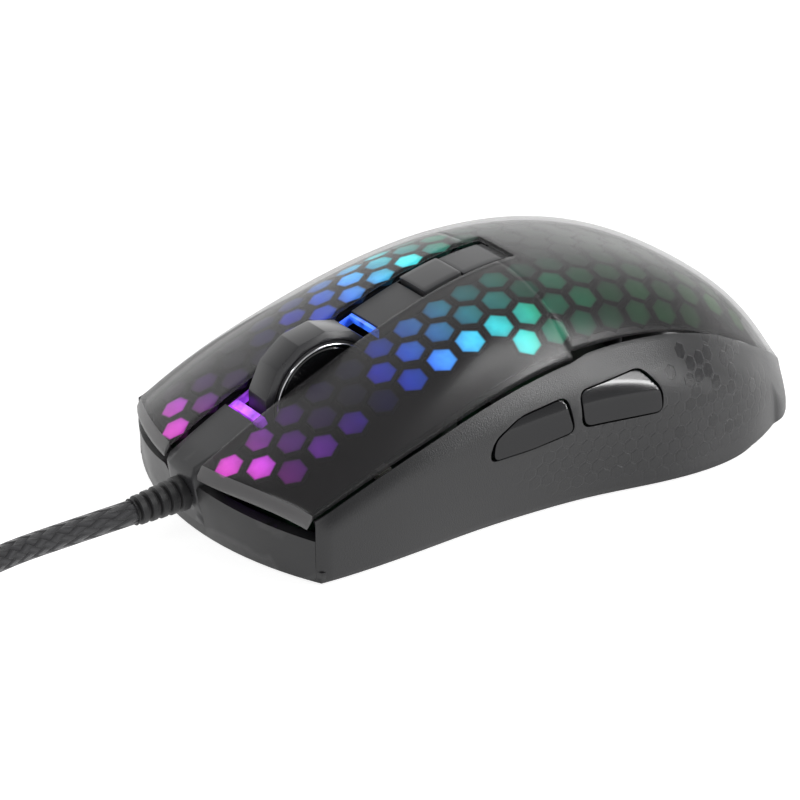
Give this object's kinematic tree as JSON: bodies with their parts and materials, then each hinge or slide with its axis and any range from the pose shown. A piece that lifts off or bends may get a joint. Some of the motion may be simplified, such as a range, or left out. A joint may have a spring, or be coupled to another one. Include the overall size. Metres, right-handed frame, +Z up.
{
  "type": "computer mouse",
  "caption": "Corded desktop mouse with flexing main keys, clickable scroll wheel, thumb buttons, top buttons, side grips, inner boards and switches, and a coiled cable with its plug.",
  "frame": {"origin": "centre of the mouse's own footprint, without its cable, on the desk under the skates", "axes": "+Z up; the nose, wheel and cable exit point along -Y and the palm rest along +Y; the thumb buttons are on the +X side"},
  "size_m": [0.0985, 0.2512, 0.0385],
  "materials": {
    "smoky_shell": "smoky translucent moulding, polished",
    "light_guide": "moulded cells that carry the lamps' light",
    "diffuser": "milky sheet",
    "grip_panel": "satin, relief of small hexagons",
    "thumb_button": "polished black",
    "case": "fine satin grain",
    "trim": "satin dark grey",
    "trim_button": "satin dark grey",
    "switch_case": "moulded switch case",
    "circuit_board": "green solder mask",
    "chip": "epoxy package",
    "clear_lens": "clear moulding",
    "connector": "ivory nylon",
    "lamp": "coloured lamp package",
    "screw": "blackened steel",
    "plunger": "moulded plunger",
    "wheel_rubber": "soft rubber in flats",
    "wheel_rim": "polished ring",
    "wheel_hub": "polished black",
    "inner_frame": "moulded, untextured",
    "skate": "low-friction sheet",
    "label": "blank foil label",
    "relief_rubber": "ribbed rubber",
    "braid": "braided sleeve",
    "tie": "soft strap",
    "plug_plastic": "moulded handle",
    "plug_metal": "plated steel sheet",
    "plug_tongue": "moulded tongue"
  },
  "bodies": {
    "chassis": {"top_shell": "smoky_shell", "palm_honeycomb": "light_guide", "light_diffuser": "diffuser", "left_side_panel": "grip_panel", "right_side_panel": "grip_panel", "bottom_case": "case", "nose_block": "trim", "centre_spine": "trim", "top_button_switches": "switch_case", "top_button_board": "circuit_board", "side_button_board": "circuit_board", "side_button_switches": "switch_case", "main_circuit_board": "circuit_board", "sensor_chip": "chip", "sensor_lens": "clear_lens", "microcontroller": "chip", "cable_connector": "connector", "lamps": "lamp", "board_screws": "screw", "case_screws": "screw", "left_switch": "switch_case", "right_switch": "switch_case", "wheel_switch": "switch_case", "wheel_guides": "inner_frame", "scroll_emitter": "clear_lens", "scroll_detector": "chip", "front_skate": "skate", "rear_skate": "skate", "rating_label": "label", "strain_relief": "relief_rubber", "cable_run": "braid", "cable_coil": "braid", "cable_tail": "braid", "cable_tie": "tie", "usb_plug_body": "plug_plastic", "usb_plug_shell": "plug_metal", "usb_plug_tongue": "plug_tongue"},
    "left_key": {"left_key": "smoky_shell", "left_key_honeycomb": "light_guide"},
    "right_key": {"right_key": "smoky_shell", "right_key_honeycomb": "light_guide"},
    "left_plunger": {"left_plunger": "plunger"},
    "right_plunger": {"right_plunger": "plunger"},
    "wheel_carriage": {"wheel_carriage": "inner_frame"},
    "wheel": {"wheel_tyre": "wheel_rubber", "wheel_rims": "wheel_rim", "wheel_hub": "wheel_hub", "encoder_disc": "chip"},
    "dpi_button": {"dpi_button": "trim_button"},
    "mode_button": {"mode_button": "trim_button"},
    "forward_button": {"forward_button": "thumb_button"},
    "back_button": {"back_button": "thumb_button"}
  },
  "joints": [
    {"name": "left_key_press", "type": "hinge", "parent": "chassis", "child": "left_key", "pos_m": [0, 0.001, 0.024], "axis": [1, 0, 0], "range_deg": [0, 0.8], "stiffness_Nm_per_rad": 25, "springref_deg": -0.17},
    {"name": "right_key_press", "type": "hinge", "parent": "chassis", "child": "right_key", "pos_m": [0, 0.001, 0.024], "axis": [1, 0, 0], "range_deg": [0, 0.8], "stiffness_Nm_per_rad": 25, "springref_deg": -0.17},
    {"name": "left_plunger_travel", "type": "slide", "parent": "chassis", "child": "left_plunger", "axis": [0, 0, -1], "range_m": [0, 0.0008]},
    {"name": "right_plunger_travel", "type": "slide", "parent": "chassis", "child": "right_plunger", "axis": [0, 0, -1], "range_m": [0, 0.0008]},
    {"name": "wheel_click", "type": "slide", "parent": "chassis", "child": "wheel_carriage", "axis": [0, 0, -1], "range_m": [0, 0.0005], "stiffness_N_per_m": 900, "springref_m": -0.0004},
    {"name": "wheel_spin", "type": "hinge", "parent": "wheel_carriage", "child": "wheel", "pos_m": [0, -0.0349, 0.01965], "axis": [1, 0, 0], "continuous": true},
    {"name": "dpi_press", "type": "slide", "parent": "chassis", "child": "dpi_button", "axis": [0, 0, -1], "range_m": [0, 0.0003], "stiffness_N_per_m": 1500, "springref_m": -0.0002},
    {"name": "mode_press", "type": "slide", "parent": "chassis", "child": "mode_button", "axis": [0, 0, -1], "range_m": [0, 0.0003], "stiffness_N_per_m": 1500, "springref_m": -0.0002},
    {"name": "forward_press", "type": "slide", "parent": "chassis", "child": "forward_button", "axis": [-1, 0, 0], "range_m": [0, 0.0006], "stiffness_N_per_m": 900, "springref_m": -0.0003},
    {"name": "back_press", "type": "slide", "parent": "chassis", "child": "back_button", "axis": [-1, 0, 0], "range_m": [0, 0.0006], "stiffness_N_per_m": 900, "springref_m": -0.0003}
  ],
  "couplings": [
    {"joint": "left_plunger_travel", "follows": "left_key_press", "m_per_rad": 0.05},
    {"joint": "right_plunger_travel", "follows": "right_key_press", "m_per_rad": 0.05}
  ]
}
